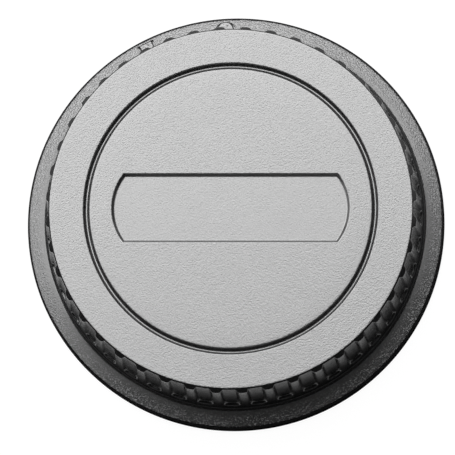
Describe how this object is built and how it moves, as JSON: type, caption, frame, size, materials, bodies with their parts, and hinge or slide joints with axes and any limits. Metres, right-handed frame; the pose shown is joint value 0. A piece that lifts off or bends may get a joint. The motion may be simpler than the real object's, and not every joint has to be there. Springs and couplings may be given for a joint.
{
  "type": "rear lens cap",
  "caption": "Round moulded cap for the back of a camera lens, with a ribbed grip, a wide flange, a bayonet inside and a flat face with a recessed panel.",
  "frame": {"origin": "centre of the cap's foot, on its turning axis", "axes": "+Z out of the flat face, away from the lens; X along the recessed panel; the index marks lie towards +Y"},
  "size_m": [0.0674, 0.0674, 0.0163],
  "materials": {
    "cap_plastic": "black, satin, with a fine moulded grain"
  },
  "bodies": {
    "root": {"cap_body": "cap_plastic"}
  },
  "joints": []
}
